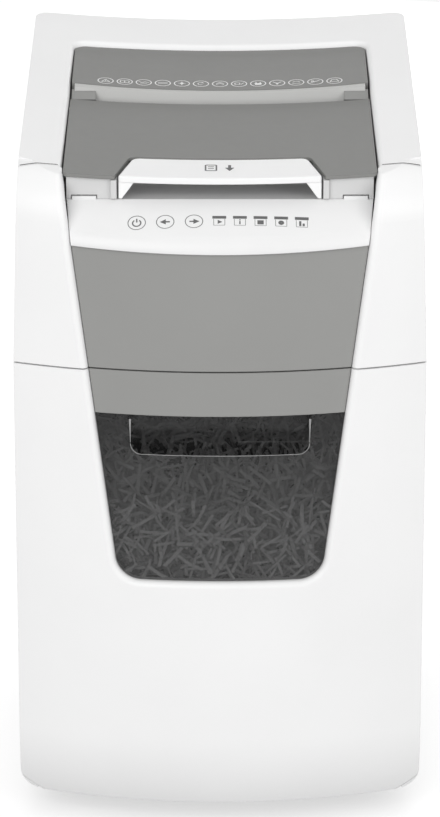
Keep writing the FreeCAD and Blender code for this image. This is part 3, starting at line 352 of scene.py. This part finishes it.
STATUS_SIGNS = (
    [tri(0, -0.8, 2.6, 0)],
    strip([(0, -3.4), (0, 0.2)], 1.1) + ring(0, 1.5, 0.35, 0.7, parts=10),
    [[(-2.6, -3.2), (2.6, -3.2), (2.6, 1.4), (-2.6, 1.4)]],
    ring(0, -0.8, 1.3, 2.2, parts=18),
    [
        [(-2.2, -3.6), (-0.4, -3.6), (-0.4, 1.6), (-2.2, 1.6)],
        [(0.6, -3.6), (2.4, -3.6), (2.4, -0.8), (0.6, -0.8)],
    ],
)
bars = []
for i, sign in enumerate(STATUS_SIGNS):
    x = STATUS_X + STATUS_STEP * i
    marks += place(status_frame + sign, x, KEY_Y, KEY_SQUEEZE)
    bars += place([[(-5.7, 2.9), (5.7, 2.9), (5.7, 6.0), (-5.7, 6.0)]], x, KEY_Y, KEY_SQUEEZE)
print_on("key_marks", "control_panel", marks, INK, "casing")
print_on("indicator_bars", "control_panel", bars, INK, "casing")

# ---------------------------------------------------------------- row of plain signs on the rear deck
LINE = 0.7
SIGNS = (
    outline([(-3.6, -2.4), (3.6, -2.4), (0, 3.4)], LINE) + strip([(0, -0.8), (0, 1.4)], LINE),
    outline([(-3.8, -2.2), (3.8, -2.2), (3.8, 2.2), (-3.8, 2.2)], LINE) + strip([(0, -2.2), (0, 2.2)], LINE),
    strip([(-4.4, 1.6), (-1.4, -0.2), (1.4, 1.6), (4.4, -0.2)], LINE)
    + strip([(-3.0, -2.0), (3.0, -2.0)], LINE),
    strip([(-4.2, 1.2), (4.2, 1.2)], LINE) + strip([(-4.2, -1.2), (4.2, -1.2)], LINE),
    strip([(0, -3.8), (0, 3.8)], LINE)
    + strip([(-3.2, 0.4), (3.2, 0.4)], LINE)
    + ring(0, 0.4, 1.2, 0.9, parts=12),
    ring(0, 0, 2.6, LINE, 30, 300, 18) + [tri(1.2, 2.4, 1.4, 90)],
    strip([(-3.4, -1.8), (0, 1.2), (3.4, -1.8)], LINE) + strip([(-3.4, 0.6), (0, 3.4), (3.4, 0.6)], LINE),
    outline([(-3.6, -1.8), (0.6, -1.8), (0.6, 2.0), (-3.6, 2.0)], LINE)
    + strip([(1.6, -1.8), (4.0, 2.0)], LINE),
    [[(-2.6, -3.0), (2.6, -3.0), (3.2, 0.6), (-3.2, 0.6)]]
    + strip([(-1.8, 0.6), (-1.8, 3.4)], 0.8)
    + strip([(1.8, 0.6), (1.8, 3.4)], 0.8),
    strip([(-3.6, 2.6), (0, -0.6), (3.6, 2.6)], 0.9) + [tri(0, -2.0, 1.8, 270)],
    ring(0, -0.6, 3.2, LINE, 20, 160, 14) + strip([(-3.6, -2.2), (3.6, -2.2)], LINE),
    strip([(-4.0, -2.2), (3.6, 2.6)], 0.9) + ring(-2.4, 1.4, 1.0, 0.8, parts=12),
    outline([(-3.8, -2.0), (3.8, -2.0), (2.0, 2.8), (-2.0, 2.8)], LINE),
)
SIGN_STEP = 16.6
SIGN_Y = 47.0
SIGN_R = 6.6
signs = []
for i, sign in enumerate(SIGNS):
    signs += place(ring(0, 0, SIGN_R, 0.85) + sign, (i - len(SIGNS) // 2) * SIGN_STEP, SIGN_Y)
print_on("deck_signs", "rear_deck", signs, INK_LIGHT, "casing")

# ---------------------------------------------------------------- painted shadow along the seam beside the lid, handle sign
SEAM_Y = -134.7
SEAM_X = 166.0
SEAM_STEP = 1.5
seams = []
for side in (-1, 1):
    seams += strip([(side * (SEAM_X - SEAM_STEP * k), SEAM_Y) for k in range(22)], 0.9)
print_on("seam_shadow", "top_frame", seams, SHADOW, "casing", 0.00030)

sheet_sign = outline([(-14.0, -6.0), (-5.0, -6.0), (-5.0, 6.0), (-14.0, 6.0)], 1.3)
sheet_sign += strip([(-12.0, 2.4), (-7.0, 2.4)], 1.2) + strip([(-12.0, -1.4), (-7.0, -1.4)], 1.2)
sheet_sign += strip([(6.0, 6.0), (6.0, -1.0)], 2.4) + [tri(6.0, -2.0, 4.6, 270)]
print_on("handle_sign", "lid_handle", place(sheet_sign, 2.0, -128.0), INK, "lid")


# ---------------------------------------------------------------- paper shreds behind the window
BOW_R = 438.0
BOW_AXIS_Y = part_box("bin_front")[0][1] / MM + BOW_R
HEAP_R = 0.4275  # the heap keeps behind this radius about the bow's axis
HEAP_TOP = 0.352
HEAP_HALF = 0.112
POCKET_DROP = 0.072  # the hand pocket begins this far below the window's top
window_low, window_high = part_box("bin_window")
POCKET_Z = window_high[2] - POCKET_DROP
POCKET_REAR_Y = window_low[1] + 0.041


def front_of_heap(x):
    return BOW_AXIS_Y * MM - math.sqrt(max(1e-6, HEAP_R * HEAP_R - x * x))


def shred(x, y, z, length, width, behind_pocket):
    """Corner points of one curled strip, kept clear of the window and the pocket."""
    turn = random.uniform(0, math.pi)
    tilt, roll, curl = random.gauss(0, 0.35), random.gauss(0, 0.5), random.gauss(0, 0.004)
    basis = Matrix.Rotation(turn, 3, "Y") @ Matrix.Rotation(tilt, 3, "X") @ Matrix.Rotation(roll, 3, "Z")
    corners = []
    for k in range(4):
        along = (k / 3 - 0.5) * length
        sag = curl * (1 - (2 * k / 3 - 1) ** 2)
        for side in (-0.5, 0.5):
            p = basis @ Vector((along, sag, side * width)) + Vector((x, y, z))
            limit = front_of_heap(p.x) + 0.0008
            if behind_pocket or p.z > POCKET_Z:
                limit = POCKET_REAR_Y
            p.y = max(p.y, limit)
            p.x = max(-0.140, min(0.140, p.x))
            p.z = max(window_low[2] - 0.006, p.z)
            corners.append(p)
    return corners


def shreds(name, material, count, near):
    """A heap of strips: the near ones lie against the lower part of the window."""
    points, faces = [], []
    for _ in range(count):
        z = random.uniform(window_low[2] - 0.004, window_low[2] + 0.062 if near else HEAP_TOP)
        x = random.uniform(-HEAP_HALF, HEAP_HALF)
        depth = random.uniform(0.0, 0.003) if near else random.uniform(0.003, 0.032)
        length = random.uniform(0.016, 0.034)
        width = random.uniform(0.0018, 0.0031) if near else random.uniform(0.0018, 0.0030)
        behind_pocket = z > POCKET_Z and abs(x) < HEAP_HALF
        y = front_of_heap(x) + 0.006 + depth
        if behind_pocket:
            y = POCKET_REAR_Y + 0.011 + depth
        first = len(points)
        points += shred(x, y, z, length, width, behind_pocket)
        for a in range(first, first + 6, 2):
            faces.append((a, a + 1, a + 3, a + 2))
    mesh_object(name, points, faces, material, "bin")


# the deep heap uses the darker paper copy (painted shade), the near strips the lighter one (painted light)
shreds("paper_shreds", PAPER_SHADED_DEEP, 1850, False)
shreds("paper_shreds_front", PAPER_LIT_FRONT, 230, True)


# ---------------------------------------------------------------- painted highlights along the edges of the hand pocket
WINDOW_R = 432.0
POCKET_BACK_Y = -153.0


def on_window(x, z, lift=0.12):
    return Vector((x, BOW_AXIS_Y - math.sqrt((WINDOW_R + lift) ** 2 - x * x), z)) * MM


def on_pocket_back(x, z, lift=0.12):
    return Vector((x, POCKET_BACK_Y - lift, z)) * MM


def edge_line(name, path, widths, material, where):
    """A thin painted highlight line along an (x, z) path on the bin front."""
    points, faces = [], []
    for i, (x, z) in enumerate(path):
        ax, az = path[max(i - 1, 0)]
        bx, bz = path[min(i + 1, len(path) - 1)]
        size = math.hypot(bx - ax, bz - az)
        half = widths[i] / 2
        nx, nz = -(bz - az) / size * half, (bx - ax) / size * half
        points += [where(x - nx, z - nz), where(x + nx, z + nz)]
    for i in range(len(path) - 1):
        faces.append((2 * i, 2 * i + 1, 2 * i + 3, 2 * i + 2))
    mesh_object(name, points, faces, material, "bin")


MOUTH_HALF, MOUTH_LOW, MOUTH_R = 74.8, 341.0, 9.0
SIDE_WIDTHS = (0.5, 0.6, 0.8, 1.1, 1.5, 1.9)
corner = []
for i in range(9):
    a = i * math.pi / 16
    corner.append((MOUTH_HALF - MOUTH_R * (1 - math.sin(a)), MOUTH_LOW + MOUTH_R * (1 - math.cos(a))))
straight = [(x, MOUTH_LOW) for x in range(-60, 61, 12)]
floor_line = [(-x, z) for x, z in reversed(corner)] + straight + corner
edge_line("pocket_edge", floor_line, [0.55] * len(floor_line), GLINT, on_window)
for side, sign in (("left", -1), ("right", 1)):
    heights = [MOUTH_LOW + MOUTH_R + 1.0 + 4.1 * k for k in range(6)]
    upright = [(sign * (MOUTH_HALF + 0.1 + 0.05 * k), z) for k, z in enumerate(heights)]
    edge_line("pocket_side_" + side, upright, SIDE_WIDTHS, GLINT, on_window)
deep_line = [(x, MOUTH_LOW + 0.6) for x in range(16, 67, 10)]
edge_line("pocket_deep_edge", deep_line, [0.5] * len(deep_line), GLINT_FAINT, on_pocket_back)

# ---------------------------------------------------------------- stage, light and camera
def stage_floor(half, material):
    """A flat floor that gives no diffuse light back, so the object fades towards its foot."""
    mesh = bpy.data.meshes.new("floor")
    corners = [(-half, -half, 0), (half, -half, 0), (half, half, 0), (-half, half, 0)]
    mesh.from_pydata(corners, [], [(0, 1, 2, 3)])
    mesh.materials.append(material)
    obj = bpy.data.objects.new("floor", mesh)
    bpy.context.scene.collection.objects.link(obj)
    obj.visible_diffuse = False


floor_look, _, floor_shader = new_material("floor_white")
floor_shader.inputs["Base Color"].default_value = (0.50, 0.50, 0.50, 1)
floor_shader.inputs["Emission Color"].default_value = (1, 1, 1, 1)
floor_shader.inputs["Emission Strength"].default_value = 0.60
floor_shader.inputs["Roughness"].default_value = 0.7
stage_floor(30, floor_look)


def softbox(name, place_at, aim_at, size, power):
    data = bpy.data.lights.new(name, "AREA")
    data.shape = "RECTANGLE"
    data.size, data.size_y = size
    data.energy = power
    obj = bpy.data.objects.new(name, data)
    obj.location = place_at
    direction = Vector(aim_at) - Vector(place_at)
    obj.rotation_euler = direction.to_track_quat("-Z", "Y").to_euler()
    bpy.context.scene.collection.objects.link(obj)


softbox("key_light", (-1.2, -2.6, 1.7), (0, 0, 0.35), (2.0, 2.0), 38)
softbox("fill_light", (1.9, -2.4, 1.2), (0, 0, 0.35), (1.8, 1.8), 26)
softbox("rear_light", (0.6, 3.0, 0.9), (0, 0, 0.35), (1.8, 1.8), 16)
softbox("top_light", (0, 0.4, 2.8), (0, 0, 0.5), (2.0, 2.0), 10)

world = bpy.data.worlds.new("studio")
bpy.context.scene.world = world
world.use_nodes = True
background = world.node_tree.nodes["Background"]
background.inputs["Color"].default_value = (1, 1, 1, 1)
background.inputs["Strength"].default_value = 0.52

lens = bpy.data.cameras.new("camera")
lens.lens = 172.4
lens.sensor_width = 36.0
camera = bpy.data.objects.new("camera", lens)
bpy.context.scene.collection.objects.link(camera)
ELEVATION = math.radians(18)
DISTANCE = 3.45
camera.location = (0, -DISTANCE * math.cos(ELEVATION), 0.3214 + DISTANCE * math.sin(ELEVATION))
camera.rotation_euler = (math.pi / 2 - ELEVATION, 0, 0)
bpy.context.scene.camera = camera
bpy.context.scene.view_settings.view_transform = "Standard"
